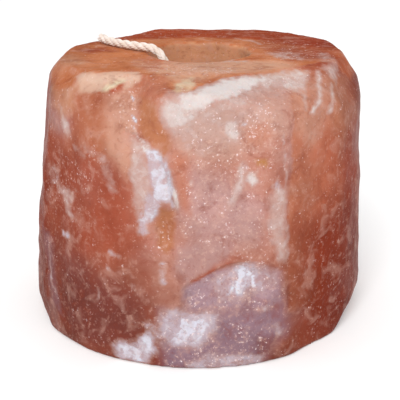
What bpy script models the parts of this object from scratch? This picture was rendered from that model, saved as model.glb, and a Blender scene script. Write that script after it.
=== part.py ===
"""A lump of rock salt hewn into a rounded drum, with a round well in its top and a piece of wick in the well.

Metres, +Z up. The front is -Y. The block stands on z = 0, and the middle of its box is on the Z axis.
The shape is laid out around the well, in millimetres where a table says so, and is moved to its place at the end.
"""

import math

import bmesh
import bpy
from mathutils import Matrix, Vector, noise
from mathutils.geometry import interpolate_bezier

MM = 0.001

# Driving dimensions of the block
HEIGHT = 110.5 * MM
BASE_RADIUS = 73.2 * MM
TOP_RADIUS = 67.0 * MM
DEPTH_TO_WIDTH = 0.945
DRUM_CENTRE = Vector((-0.9, -1.6, 0.0)) * MM
NET_SIZE = 1.5 * MM
EDGE_WEAR = 14
BREAK_WEAR = 2
LUMP_SIZE = 17.0 * MM
LUMP_HEIGHT = 0.75 * MM
GRAIN_SIZE = 6.0 * MM
GRAIN_HEIGHT = 0.3 * MM
BLOCK_FACES = 8400

# Driving dimensions of the well
WELL_RADIUS = 21.3 * MM
WELL_DEPTH = 22.0 * MM
WELL_CENTRE = Vector((-0.3, -0.6, 0.0)) * MM
WELL_SIDES = 56

# Driving dimensions of the wick
WICK_DIAMETER = 3.4 * MM
WICK_POINTS = 36

# The wick's route in mm, from its end on the floor of the well to its cut end over the top
WICK_ROUTE = (
    (5.8, 5.2, 90.6),
    (1.6, 2.4, 90.6),
    (-2.5, -0.3, 90.6),
    (-6.7, -3.1, 90.6),
    (-9.5, -5.0, 91.3),
    (-11.8, -6.5, 93.1),
    (-13.4, -7.6, 96.0),
    (-13.9, -7.9, 99.2),
    (-13.9, -7.9, 103.8),
    (-14.5, -7.5, 107.2),
    (-16.1, -6.5, 110.0),
    (-18.6, -4.9, 112.0),
    (-21.4, -3.2, 112.6),
    (-25.0, -0.8, 112.6),
    (-29.8, 2.6, 112.6),
    (-35.2, 7.4, 112.6),
    (-39.4, 12.0, 112.7),
    (-43.4, 17.2, 113.1),
)

# Flat faces hewn on the sides: azimuth that each looks to, distance in mm at mid-height, lean inwards
SIDE_FACETS = {
    "front": (-80, 68.0, 3.4),
    "front right": (-47, 67.2, 2.2),
    "right": (-6, 69.6, 2.6),
    "upper right": (-12, 70.3, 5.0),
    "back right": (38, 67.0, 4.0),
    "back": (82, 61.5, 5.0),
    "back left": (138, 63.5, 5.5),
    "left": (184, 68.4, 5.4),
    "upper left": (191, 69.6, 8.5),
    "front left": (-140, 68.8, 4.0),
}

# Worn slopes around the top: azimuth, how far out in mm the slope meets the top, its fall
TOP_SLOPES = {
    "front right": (-60, 46.7, 30),
    "front": (-92, 43.0, 13),
    "left front": (-148, 58.0, 48),
    "left": (180, 55.8, 48),
    "left back": (140, 49.5, 46),
    "back": (85, 53.5, 55),
    "right back": (45, 60.0, 55),
    "right": (5, 59.5, 56),
    "right front": (-25, 56.5, 54),
}

# Broken slopes around the base: azimuth, distance in mm at the base, the height where the slope leaves the side
BASE_SLOPES = {
    "right": (-14, 64.5, 17.0),
    "right front": (-50, 69.4, 6.0),
    "front": (-108, 71.0, 5.0),
    "front left": (-138, 71.6, 8.0),
    "left": (176, 71.0, 5.0),
    "left front": (196, 70.6, 7.0),
    "back": (90, 60.0, 7.0),
}

# The flake off the front: a jagged left edge, from the top down, and a flat floor as wide as the front
FLAKE_EDGE = (
    (-19.5, 99.0), (-18.4, 94.5), (-17.6, 91.0), (-14.6, 87.6), (-13.6, 84.0), (-12.0, 81.0), (-11.6, 75.0),
    (-10.4, 70.5), (-10.0, 66.0), (-11.8, 61.0), (-13.5, 54.0), (-16.5, 48.0), (-9.5, 39.0), (-4.0, 30.0),
)
FLAKE_END = ((0.0, 27.0), (60.0, 27.0), (60.0, 114.0), (-22.0, 114.0))
FLAKE_FLOOR = (-87, 64.2, 3.6)

# The break low on the front: a shell-shaped ledge, with a floor that runs out towards the base
LEDGE_EDGE = (
    (-9.0, 22.0), (-6.0, 29.5), (-2.0, 34.8), (2.0, 36.0), (6.0, 40.0), (11.0, 42.6), (15.5, 42.9),
    (19.0, 41.0), (24.0, 40.6), (29.0, 37.6), (33.0, 36.5),
)
LEDGE_END = ((34.5, 20.0), (31.0, 4.0), (4.0, 3.0))
LEDGE_FLOOR = (-86, 59.8, 12.5)

# The break at the left of the front edge of the top, seen from above: its edge, then what lies outside it
CORNER_EDGE = (
    (-70.0, -34.0), (-52.0, -40.0), (-46.0, -41.6), (-40.0, -42.8), (-35.0, -42.0), (-31.0, -43.0), (-27.0, -42.4),
    (-23.0, -43.4), (-21.0, -47.0), (-20.4, -52.0), (-18.6, -57.0), (-18.0, -62.0),
)
CORNER_END = ((-17.5, -90.0), (-80.0, -90.0))
CORNER_SLOPE = (-104, 49.2, 55)

# Small scoops: middle and half sizes in mm, and turn around Z in degrees
SCOOPS = {
    "chip under the corner's edge": ((-28.0, -46.0, 108.2), (8.0, 4.0, 2.0), 5),
    "chip beside it": ((-22.5, -46.5, 106.0), (3.0, 3.0, 3.0), -10),
    "hollow at the flake": ((-13.6, -66.4, 57.0), (4.4, 3.2, 9.5), 0),
    "chip behind the well": ((19.5, 17.5, 111.0), (7.0, 2.4, 2.0), -35),
    "chip at the right": ((71.6, -2.0, 34.0), (3.0, 9.0, 5.5), 0),
    "dent in the front": ((19.0, -65.4, 74.0), (9.0, 3.0, 13.0), -5),
    "chip at the back": ((-33.0, 60.0, 70.0), (14.0, 5.0, 20.0), 28),
    "chip low at the back": ((28.0, 66.0, 22.0), (16.0, 6.0, 9.0), -28),
    "chip at the left": ((-72.0, 12.0, 38.0), (4.0, 12.0, 9.0), 6),
}
SCOOP_RAGGEDNESS = 0.22


def clear_scene():
    for thing in list(bpy.data.objects):
        bpy.data.objects.remove(thing, do_unlink=True)


def material(name, colour, roughness):
    made = bpy.data.materials.new(name)
    made.use_nodes = True
    shader = made.node_tree.nodes["Principled BSDF"]
    shader.inputs["Base Color"].default_value = (*colour, 1.0)
    shader.inputs["Roughness"].default_value = roughness
    shader.inputs["Metallic"].default_value = 0.0
    return made


def placed(name, data):
    thing = bpy.data.objects.new(name, data)
    bpy.context.scene.collection.objects.link(thing)
    return thing


def meshed(name, shape):
    """A mesh of what has been modelled, and the end of the modelling data."""
    mesh = bpy.data.meshes.new(name)
    bmesh.ops.recalc_face_normals(shape, faces=shape.faces)
    shape.to_mesh(mesh)
    shape.free()
    return mesh


def settle(thing):
    """Turns the object's modifiers into its mesh."""
    graph = bpy.context.evaluated_depsgraph_get()
    thing.data = bpy.data.meshes.new_from_object(thing.evaluated_get(graph))
    thing.modifiers.clear()


def cut_away(shape, point, normal):
    """Cuts off what lies past a plane, and closes the cut."""
    everything = shape.verts[:] + shape.edges[:] + shape.faces[:]
    made = bmesh.ops.bisect_plane(shape, geom=everything, plane_co=point, plane_no=normal, clear_outer=True)
    rim = [item for item in made["geom_cut"] if isinstance(item, bmesh.types.BMEdge)]
    if rim:
        bmesh.ops.contextual_create(shape, geom=rim)


def level_direction(azimuth):
    angle = math.radians(azimuth)
    return Vector((math.cos(angle), math.sin(angle), 0.0))


def leaning_plane(azimuth, distance, lean):
    """The point and normal of a side face that leans inwards towards the top."""
    outward = level_direction(azimuth)
    tilt = math.radians(lean)
    point = outward * distance * MM + Vector((0, 0, HEIGHT / 2))
    return point, outward * math.cos(tilt) + Vector((0, 0, math.sin(tilt)))


def falling_plane(azimuth, distance, fall):
    """The point and normal of a slope that falls away from the top."""
    outward = level_direction(azimuth)
    tilt = math.radians(fall)
    point = outward * distance * MM + Vector((0, 0, HEIGHT))
    return point, outward * math.sin(tilt) + Vector((0, 0, math.cos(tilt)))


def hewn_drum():
    """The drum as it was hewn: flat faces on the sides and slopes at both ends, a little too tall."""
    spare = 3.0 * MM
    shape = bmesh.new()
    bmesh.ops.create_cone(
        shape, cap_ends=True, segments=72, radius1=BASE_RADIUS, radius2=TOP_RADIUS, depth=HEIGHT + 2 * spare
    )
    bmesh.ops.scale(shape, vec=(1.0, DEPTH_TO_WIDTH, 1.0), verts=shape.verts)
    bmesh.ops.translate(shape, vec=DRUM_CENTRE + Vector((0, 0, HEIGHT / 2)), verts=shape.verts)
    for facet in SIDE_FACETS.values():
        cut_away(shape, *leaning_plane(*facet))
    for slope in TOP_SLOPES.values():
        cut_away(shape, *falling_plane(*slope))
    for azimuth, distance, rise in BASE_SLOPES.values():
        outward = level_direction(azimuth)
        out = BASE_RADIUS - distance * MM
        normal = outward * rise * MM - Vector((0, 0, out))
        cut_away(shape, outward * distance * MM, normal.normalized())
    return meshed("salt_block", shape)


def soften(thing, wear):
    """Rounds the edges, as damp and handling round those of salt."""
    net = thing.modifiers.new("even net", "REMESH")
    net.mode = "VOXEL"
    net.voxel_size = NET_SIZE
    worn = thing.modifiers.new("worn edges", "SMOOTH")
    worn.factor = 0.5
    worn.iterations = wear
    settle(thing)


def cutter(name, shape):
    thing = placed(name, meshed(name, shape))
    thing.display_type = "WIRE"
    thing.hide_render = True
    return thing


def break_cutter(name, corners, way, floor):
    """What a broken-off piece held: its outline pushed along a way, down to the floor of the break."""
    shape = bmesh.new()
    face = shape.faces.new([shape.verts.new(corner) for corner in corners])
    pushed = bmesh.ops.extrude_face_region(shape, geom=[face])
    moved = [item for item in pushed["geom"] if isinstance(item, bmesh.types.BMVert)]
    bmesh.ops.translate(shape, vec=way, verts=moved)
    point, normal = floor
    cut_away(shape, point, -normal)
    return cutter(name, shape)


def front_break(name, outline, floor):
    corners = [(x * MM, -0.1, z * MM) for x, z in outline]
    return break_cutter(name, corners, (0, 0.1, 0), leaning_plane(*floor))


def top_break(name, outline, slope):
    corners = [(x * MM, y * MM, HEIGHT + 0.01) for x, y in outline]
    return break_cutter(name, corners, (0, 0, -0.08), falling_plane(*slope))


def scoop_cutter(name, middle, half_sizes, turn):
    """A ragged egg shape, which leaves a shell-shaped hollow."""
    shape = bmesh.new()
    bmesh.ops.create_icosphere(shape, subdivisions=3, radius=1.0)
    seed = Vector(middle)
    for corner in shape.verts:
        corner.co *= 1 + SCOOP_RAGGEDNESS * noise.noise(corner.co * 1.6 + seed)
    place = Matrix.Translation(Vector(middle) * MM) @ Matrix.Rotation(math.radians(turn), 4, "Z")
    size = Matrix.Diagonal((*(Vector(half_sizes) * MM), 1.0))
    bmesh.ops.transform(shape, matrix=place @ size, verts=shape.verts)
    return cutter(name, shape)


def well_cutter():
    above = 5.0 * MM
    shape = bmesh.new()
    bmesh.ops.create_cone(
        shape, cap_ends=True, segments=WELL_SIDES, radius1=WELL_RADIUS, radius2=WELL_RADIUS, depth=WELL_DEPTH + above
    )
    middle = WELL_CENTRE + Vector((0, 0, HEIGHT - WELL_DEPTH + (WELL_DEPTH + above) / 2))
    bmesh.ops.translate(shape, vec=middle, verts=shape.verts)
    return cutter("room in the well", shape)


def cut_with(thing, tool):
    cut = thing.modifiers.new(tool.name, "BOOLEAN")
    cut.operation = "DIFFERENCE"
    cut.solver = "EXACT"
    cut.object = tool


def break_pieces_off(block):
    tools = [
        front_break("front flake", FLAKE_EDGE + FLAKE_END, FLAKE_FLOOR),
        front_break("low ledge", LEDGE_EDGE + LEDGE_END, LEDGE_FLOOR),
        top_break("front corner", CORNER_EDGE + CORNER_END, CORNER_SLOPE),
    ]
    tools += [scoop_cutter(name, *sizes) for name, sizes in SCOOPS.items()]
    for tool in tools:
        cut_with(block, tool)
    settle(block)


def add_lumps(mesh):
    """Raises and sinks the surface in soft lumps, with a finer grain on them."""
    shape = bmesh.new()
    shape.from_mesh(mesh)
    shape.normal_update()
    for corner in shape.verts:
        lump = noise.noise(corner.co / LUMP_SIZE)
        grain = noise.noise(corner.co / GRAIN_SIZE + Vector((7, 3, 5)))
        corner.co += corner.normal * (LUMP_HEIGHT * lump + GRAIN_HEIGHT * grain)
    shape.to_mesh(mesh)
    shape.free()


def saw_ends_flat(thing):
    shape = bmesh.new()
    shape.from_mesh(thing.data)
    cut_away(shape, (0, 0, HEIGHT), (0, 0, 1))
    cut_away(shape, (0, 0, 0), (0, 0, -1))
    bmesh.ops.triangulate(shape, faces=shape.faces)
    shape.to_mesh(thing.data)
    shape.free()


def thin_out(thing):
    """Leaves the faces that the shape needs."""
    fewer = thing.modifiers.new("fewer faces", "DECIMATE")
    fewer.ratio = BLOCK_FACES / len(thing.data.polygons)
    settle(thing)


def build_block():
    block = placed("salt_block", hewn_drum())
    soften(block, EDGE_WEAR)
    break_pieces_off(block)
    soften(block, BREAK_WEAR)
    add_lumps(block.data)
    saw_ends_flat(block)
    thin_out(block)
    cut_with(block, well_cutter())
    settle(block)
    block.data.materials.clear()
    block.data.materials.append(material("salt", (0.52, 0.17, 0.10), 0.45))
    return block


def smooth_route(points, count):
    """Points at even steps along a smooth curve through the given ones."""
    ends = [points[0] * 2 - points[1]] + points + [points[-1] * 2 - points[-2]]
    fine = []
    for before, start, end, after in zip(ends, ends[1:], ends[2:], ends[3:]):
        fine += interpolate_bezier(start, start + (end - before) / 6, end - (after - start) / 6, end, 20)[:-1]
    fine.append(points[-1])
    travelled = [0.0]
    for one, other in zip(fine, fine[1:]):
        travelled.append(travelled[-1] + (other - one).length)
    even = []
    for step in range(count):
        wanted = travelled[-1] * step / (count - 1)
        index = min(max(i for i, along in enumerate(travelled) if along <= wanted), len(fine) - 2)
        share = (wanted - travelled[index]) / (travelled[index + 1] - travelled[index])
        even.append(fine[index].lerp(fine[index + 1], share))
    return even


def build_wick():
    route = smooth_route([Vector(point) * MM for point in WICK_ROUTE], WICK_POINTS)
    curve = bpy.data.curves.new("wick", "CURVE")
    curve.dimensions = "3D"
    curve.bevel_depth = WICK_DIAMETER / 2
    curve.bevel_resolution = 2
    curve.use_fill_caps = True
    line = curve.splines.new("POLY")
    line.points.add(WICK_POINTS - 1)
    for point, place in zip(line.points, route):
        point.co = (*place, 1.0)
    curve.materials.append(material("cotton", (0.75, 0.69, 0.62), 0.9))
    return placed("wick", curve)


def middle_of(block):
    """How far the middle of the block's box is from the well's drawing axis."""
    xs = [corner.co.x for corner in block.data.vertices]
    ys = [corner.co.y for corner in block.data.vertices]
    return Vector(((min(xs) + max(xs)) / 2, (min(ys) + max(ys)) / 2, 0.0))


def main():
    clear_scene()
    block = build_block()
    wick = build_wick()
    shift = Matrix.Translation(-middle_of(block))
    block.data.transform(shift)
    wick.data.transform(shift)


main()
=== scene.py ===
"""A candle holder hewn from pink rock salt, with a piece of cotton wick in its well: the finished look.

Metres, +Z up, in the frame of the solids. The front is -Y. Tables of places and sizes are in millimetres.
"""

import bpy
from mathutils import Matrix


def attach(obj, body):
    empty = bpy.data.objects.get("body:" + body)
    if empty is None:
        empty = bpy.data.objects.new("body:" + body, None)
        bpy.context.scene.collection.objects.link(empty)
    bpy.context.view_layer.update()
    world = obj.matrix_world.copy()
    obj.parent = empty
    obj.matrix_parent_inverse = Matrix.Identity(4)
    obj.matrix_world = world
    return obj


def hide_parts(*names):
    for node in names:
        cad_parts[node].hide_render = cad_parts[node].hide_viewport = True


bl_info = {
    "name": "Rock salt candle holder",
    "version": (1, 0, 0),
    "blender": (4, 5, 0),
    "location": "3D View > Sidebar > Rock Salt",
    "description": "Makes a hewn block of rock salt with a well, and the cotton wick that lies in it",
    "category": "Object",
}

import math
import random

import bmesh
import bpy
import numpy as np
from mathutils import Color, Vector, noise
from mathutils.geometry import interpolate_bezier

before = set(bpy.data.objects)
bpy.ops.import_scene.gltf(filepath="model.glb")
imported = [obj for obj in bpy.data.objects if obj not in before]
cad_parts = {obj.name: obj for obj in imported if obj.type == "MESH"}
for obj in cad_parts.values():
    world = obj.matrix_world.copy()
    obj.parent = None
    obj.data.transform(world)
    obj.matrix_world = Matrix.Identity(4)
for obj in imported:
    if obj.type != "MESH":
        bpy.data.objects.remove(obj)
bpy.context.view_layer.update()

MM = 0.001

# The wick's route in mm, from its end on the floor of the well to its cut end over the top, as it is drawn
WICK_ROUTE = (
    (5.8, 5.2, 90.6),
    (1.6, 2.4, 90.6),
    (-2.5, -0.3, 90.6),
    (-6.7, -3.1, 90.6),
    (-9.5, -5.0, 91.3),
    (-11.8, -6.5, 93.1),
    (-13.4, -7.6, 96.0),
    (-13.9, -7.9, 99.2),
    (-13.9, -7.9, 103.8),
    (-14.5, -7.5, 107.2),
    (-16.1, -6.5, 110.0),
    (-18.6, -4.9, 112.0),
    (-21.4, -3.2, 112.6),
    (-25.0, -0.8, 112.6),
    (-29.8, 2.6, 112.6),
    (-35.2, 7.4, 112.6),
    (-39.4, 12.0, 112.7),
    (-43.4, 17.2, 113.1),
)

# From the drawing's middle, which is the well's, to the middle of the block's box
DRAWING_SHIFT = Vector((0.894, 2.061, 0.0)) * MM
BLOCK_HEIGHT = 110.5 * MM

# From the well's middle to the outside of its worn rim, and over what width that rim fades
WELL_REACH = 22 * MM
RIM_FADE = 1.5 * MM

# The front's marks end about here in depth, in mm, and over no less than this fade
FRONT_END = -1.5
FRONT_FADE = 4.0

# How far down the top's marks reach, and over what height they fade
TOP_REACH = 9 * MM
TOP_FADE = 4 * MM

# Points along the wick, and parts of its thickness: a yarn's radius and its distance from the middle of its
# strand, the distance of a strand from the middle of the cord, and what is added to that in the frayed part
WICK_STEPS = 230
YARN_RADIUS = 0.16
YARN_AWAY = 0.16
STRAND_AWAY = 0.215
FRAYED_AWAY = 0.05
FRAYED_PART = 0.05
FIBRE_RADIUS = 0.035 * MM
FIBRE_SEED = 11

# Rounds of smoothing that wear the step down, and heights of the relief's fine patterns
STEP_ROUNDS = 30
COMBED_HEIGHT = 0.10 * MM
SAWN_HEIGHT = 0.14 * MM

# Broken edges: how far before the middle they begin and then come in, and the width in mm of their step
LIP_DEPTH = 12 * MM
LIP_STEP = 0.9

# Clouds in the salt: the size and share of the coloured ones, and how much the others lighten and darken
CLOUD_SIZE = 24 * MM
CLOUD_SHARE = 0.8
CLOUD_DEPTH = 0.14

# Bloom at the back: the size of its patches, where it begins in depth, and over what depth it comes in
WILD_SIZE = 17 * MM
WILD_START = 8 * MM
WILD_FADE = 25 * MM
WILD_WARMTH = 0.45

# Painted shade that darkens the block towards its foot: how much light it takes, and how high it reaches
PAINTED_FOOT_SHADE = 0.26
FOOT_HEIGHT = 75 * MM

# Painted shade on the flanks: where each begins across, its width, and the share of red, green and blue that
# it takes
PAINTED_SHADE_ON_FLANKS = {
    "right": (28 * MM, 34 * MM, (0.20, 0.40, 0.44)),
    "left": (-36 * MM, -30 * MM, (0.30, 0.42, 0.46)),
}

# Soft light in front at the left
KEY_PLACE = (-0.7, -3.7, 3.3)
KEY_WIDTH = 2.6
MIDDLE = (0.0, 0.0, 0.05)


def patch(strength, fade, *outline, view="front"):
    """An area with a closed outline, and the width in mm over which it fades out."""
    return {"view": view, "strength": strength, "fade": fade, "width": 0.0, "line": outline + outline[:1]}


def stroke(strength, width, *line, view="front"):
    """A line of a given width in mm, which fades out to both sides."""
    line = line if len(line) > 1 else line * 2
    return {"view": view, "strength": strength, "fade": width, "width": width / 2, "line": line}


# White bloom and bruises. Places are in mm: across and up for the front, across and back for the top.
FROST = {
    # Partly white bloom, partly painted sheen: the light along the bevel is painted as bloom in these three
    # marks
    "bloom and painted sheen along the bevel": patch(
        1.0, 3.0, (-7, 106.2), (-5, 107.2), (-1, 107.6), (3, 108.4), (9, 109.8), (16, 110.3), (22, 109.8),
        (28, 109.2), (24, 107.2), (19, 106.2), (11.5, 105), (5, 102.8), (0, 101), (-6, 100.5),
    ),
    "bloom and painted sheen right of the bevel": patch(
        0.74, 4.0, (18, 109.8), (31, 110.2), (42, 110.2), (42.5, 107), (40.5, 104), (30, 104.6), (18, 106),
    ),
    "bloom and painted sheen at the end of the bevel": patch(0.8, 3.0, (31, 110), (41, 110), (40, 107.5), (33, 108)),
    "patch under the tongue": patch(
        0.84, 6.0, (-13.5, 105), (-9, 106.4), (-5, 106.8), (-1, 106), (3, 104), (1, 98.5), (-4, 95.5),
        (-8.5, 93.8), (-12, 96), (-12.6, 101),
    ),
    "brightest part of it": patch(0.96, 4.0, (-6, 105.5), (3, 105.5), (4, 101), (-5, 99.5)),
    "lower edge of the band": patch(
        0.60, 7.0, (-9, 103), (0, 107), (22, 109.5), (30, 106), (20, 102), (8, 98), (-3, 92), (-11, 92),
    ),
    "veil on the shoulder": patch(
        0.52, 12.0, (-4, 104), (14, 106), (25, 104), (25, 99), (16, 94), (8, 88), (0, 86), (-8, 92),
    ),
    "grey patch": patch(
        0.84, 3.0, (9, 97), (14.5, 97.5), (15.5, 93.5), (14.8, 89.5), (11, 89.5), (8.6, 93),
    ),
    "small crescent": stroke(0.85, 0.9, (15.4, 96.6), (16.4, 95.7), (17.8, 96.2)),
    "chip at the right corner": patch(
        0.60, 3.4, (49, 110.5), (54, 110.5), (55.5, 107.5), (54, 104.5), (51, 106),
    ),
    "first run": stroke(0.86, 2.2, (46, 108), (46, 104), (44.5, 99.5), (43, 97.5)),
    "second run": stroke(0.66, 1.9, (51, 103.5), (51, 100), (50, 96)),
    "third run": stroke(0.56, 1.7, (39.5, 103), (40, 99.5)),
    "crust on the flake's edge": patch(
        0.96, 2.6, (-18.5, 87.5), (-13.4, 87.5), (-11, 83), (-9.2, 77.5), (-8.2, 71.5), (-10.5, 67.5),
        (-13.5, 67.6), (-16.5, 69), (-17.8, 76), (-17.8, 81.5),
    ),
    "edge of the crust": stroke(
        1.0, 2.4, (-14, 87.5), (-12.5, 83.5), (-11, 79), (-10, 74.5), (-8.5, 69.5), (-7.5, 65.5),
    ),
    "crumbs over the crust": stroke(0.78, 2.0, (-23, 92), (-21, 90.5), (-18, 88.5), (-16.5, 86.5)),
    "veil beside the crust": patch(
        0.66, 3.6, (-24.5, 91), (-19, 89), (-14, 86), (-12, 80), (-11, 70), (-16.5, 68.5), (-17, 60),
        (-19, 55.5), (-22, 54), (-23.5, 62), (-24.5, 75.5),
    ),
    "veins at the left": stroke(
        0.42, 3.4, (-41.5, 83.5), (-37, 82.5), (-34, 80.5), (-32.5, 75), (-31.5, 70.5),
    ),
    "flecks beside them": stroke(0.36, 2.4, (-46.5, 83), (-42.5, 81.5)),
    "tail of the crust": patch(0.80, 3.0, (-18, 72), (-12.6, 70), (-13.8, 62.5), (-17.8, 58), (-20.6, 64)),
    "foot of the crust": patch(0.78, 2.4, (-22, 63), (-18, 62), (-18.2, 55), (-20.6, 53.4), (-22.6, 55)),
    "curl at its end": stroke(0.90, 1.4, (-12.8, 68.2), (-10.8, 69), (-8.9, 66)),
    "bright chip": patch(0.95, 1.4, (-20.5, 87.6), (-17.5, 88), (-13, 85), (-14.5, 83), (-18.5, 85)),
    "streak at the left": patch(
        0.74, 2.4, (-53, 95.5), (-51, 94.5), (-48.2, 91.5), (-47.4, 88.5), (-49.2, 86), (-52, 89),
    ),
    "thin streak over it": stroke(0.40, 1.4, (-54, 99), (-52.2, 95), (-50.5, 93)),
    "cloud at the left": patch(
        0.62, 3.0, (-56.5, 66), (-54, 64.5), (-50.5, 65), (-47, 66), (-47.5, 62.5), (-51, 60.5),
        (-55, 61.5),
    ),
    "pale cloud over it": patch(0.46, 3.4, (-59, 72), (-56, 72.5), (-55, 66), (-58.5, 64)),
    "drip under it": stroke(0.62, 2.8, (-51.5, 60.5), (-51, 56.5), (-49, 54.5)),
    "left spot": stroke(0.92, 2.6, (-53, 45.6), (-51.8, 46)),
    "left twin": stroke(0.62, 2.0, (-32.5, 45.5), (-32, 45)),
    "right twin": stroke(0.58, 1.8, (-30, 44.8), (-29.5, 44.4)),
    "speck under the twins": stroke(0.50, 1.8, (-34.4, 39.5), (-33.8, 38.5)),
    "cream spot": stroke(0.66, 2.2, (-13.2, 43.4), (-12.6, 43.2)),
    "cloud under it": stroke(0.50, 2.8, (-13.5, 40), (-13.2, 37)),
    "pale speck": stroke(0.50, 2.2, (-25, 32.8), (-24.6, 32)),
    "low speck": stroke(0.50, 1.2, (-39, 29), (-39, 24)),
    "left foot": patch(
        0.86, 6.0, (-34, 6), (-31, 9.5), (-26.5, 9.8), (-22.5, 12.5), (-18.5, 16), (-16, 13), (-16.5, 6),
        (-20, 0), (-30, 0),
    ),
    "veil between the feet": patch(0.42, 5.0, (-21, 20), (-13, 21), (-12, 9), (-18, 9)),
    "front foot": patch(
        0.80, 4.6, (-14.5, 19.5), (-13, 24), (-8, 25), (-4.5, 23.5), (-0.5, 22.4), (4.5, 24), (8.5, 22.5),
        (8, 16), (4, 11.5), (1, 8.5), (-4.5, 10), (-10, 10), (-13.5, 13),
    ),
    "heart of the front foot": patch(1.0, 4.0, (-6, 21), (2, 21), (5, 16.5), (2, 10.5), (-3, 11), (-6, 15)),
    "band along the base": patch(
        0.62, 3.0, (-5, 4), (-1, 5.5), (4, 7.5), (12.5, 6), (20.5, 5), (26, 4.5), (25, 0), (16, -1),
        (2, -1), (-4, 0),
    ),
    # Painted highlight: light on the glossy crystals under the ledge, laid as silver-white bloom and streaks
    "painted highlight under the ledge": patch(
        0.80, 3.8, (10.5, 33), (12.5, 39), (17.5, 43), (22.5, 42.5), (23.5, 36.5), (20.5, 32), (16, 28.5),
        (11.5, 28.5),
    ),
    "first streak of painted highlight": stroke(1.45, 1.7, (14.5, 30.5), (16, 36), (17, 39)),
    "second streak of painted highlight": stroke(1.25, 1.5, (18.5, 38), (20.5, 36.5), (21.5, 32.5)),
    "third streak of painted highlight": stroke(1.15, 1.6, (12, 30), (13.5, 33.5)),
    "veil around the silver": patch(
        0.44, 6.0, (4.5, 35.5), (10.5, 38.5), (20, 42), (30.5, 39), (32.5, 32), (24.5, 30), (16, 27),
        (9, 27),
    ),
    "stripe by the corner": patch(
        0.62, 4.4, (26.5, 69), (29, 71.5), (34, 70.5), (34.4, 54), (34, 42), (30, 43), (27.6, 50),
        (26.4, 60),
    ),
    "thin line over it": stroke(0.42, 1.0, (31.4, 92), (32, 78), (32.6, 70)),
    "pale spot on the heart": stroke(0.62, 2.0, (-5.8, 73.6), (-3, 73.8)),
    "spot on the heart": patch(0.90, 2.6, (18, 78.5), (21.5, 78), (22.4, 74.5), (20.5, 71.5), (17.6, 74.5)),
    "streak on the heart": stroke(0.74, 2.8, (16, 79.5), (16, 73.5), (14, 68.5), (12.5, 66.5)),
    "spot by the corner": stroke(0.72, 2.8, (28.8, 73), (30.6, 69.5)),
    "faint spot": stroke(0.50, 3.0, (16.3, 81), (17.2, 80.5)),
    # Painted glints: small white marks of bloom that stand in for light glinting on the crystals
    "first violet glint": stroke(1.3, 1.0, (-24.1, 103), (-23.7, 102.4)),
    "second violet glint": stroke(1.3, 1.0, (-23.4, 97), (-22.4, 96)),
    "third violet glint": stroke(1.4, 1.0, (-23.2, 93.6), (-22.9, 92.4)),
    "scratched strip at the left": stroke(0.45, 1.0, (-61, 33), (-60.5, 24), (-58.8, 16)),
    "beige chip": stroke(0.50, 2.0, (41, 32.8), (43.4, 35)),
    "chip on the violet": stroke(0.50, 3.0, (25, 24.5), (26, 24)),
    "chip near the base": stroke(0.50, 3.0, (30.6, 14.8), (31.6, 12.5)),
    "long scratch": stroke(0.45, 0.7, (58, 35), (53, 28), (49, 21.5), (43.5, 14)),
    "short scratch": stroke(0.36, 0.6, (60, 25), (56, 19.5)),
    "chips behind the well": stroke(0.50, 2.2, (16.5, 30), (22, 24.5), view="top"),
    "chips beside them": stroke(0.50, 2.2, (22.5, 25), (27.5, 15), view="top"),
    "small streak by the window": stroke(0.66, 1.2, (-12, 93), (-11.8, 89)),
}

# The marks whose bloom is smooth and of a warm white
WARM = (
    "bloom and painted sheen along the bevel", "bloom and painted sheen right of the bevel", "bloom and painted sheen at the end of the bevel",
    "patch under the tongue", "brightest part of it", "bright chip", "grey patch", "first run",
    "second run", "third run", "veins at the left", "flecks beside them", "drip under it",
    "streak at the left", "cloud at the left", "chip at the right corner", "lower edge of the band",
    "veil on the shoulder", "veil beside the crust", "stripe by the corner", "spot on the heart",
    "streak on the heart", "pale spot on the heart", "crumbs over the crust", "edge of the crust",
)

# The marks that stay cold white although a warm one reaches over them
COLD = ("crust on the flake's edge", "tail of the crust", "foot of the crust")

# Clean salt, which no bloom covers
BARE = {
    "tongue of the top": patch(
        1.0, 1.0, (-21.5, -41), (-17, -46), (-13.5, -50), (-9, -55), (-4.5, -56.8), (-1, -54.5), (3, -50.5),
        (9, -44.8), (20, -42), (31.5, -34.5), (42.5, -30.5), (49, -20.5), (48, -16), (-22, -28), view="top",
    ),
    "window": patch(
        1.0, 1.2, (-23, 92), (-20, 90.5), (-14.6, 88), (-11.4, 85), (-8.8, 79), (-7.8, 73), (-6.2, 67),
        (-4, 62), (-3, 80), (-6, 91), (-11.5, 93), (-12.8, 98), (-13.6, 104.5), (-18, 105.5), (-21.4, 101),
        (-21.2, 95),
    ),
    "hollow": patch(
        0.9, 1.4, (-15, 65), (-13, 66.6), (-9, 64.5), (-7.6, 58.5), (-8.2, 52), (-11, 47.6), (-15, 49.5),
        (-16.6, 54), (-15.2, 59.5),
    ),
    "right face": patch(
        0.75, 0.9, (35.6, 94), (38, 96), (50, 94), (56, 83.5), (58, 37), (52, 14), (40.5, 10), (36.5, 20),
        (34.6, 33), (34.6, 46), (33.9, 66), (34.2, 80), (34.6, 92),
    ),
}
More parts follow.
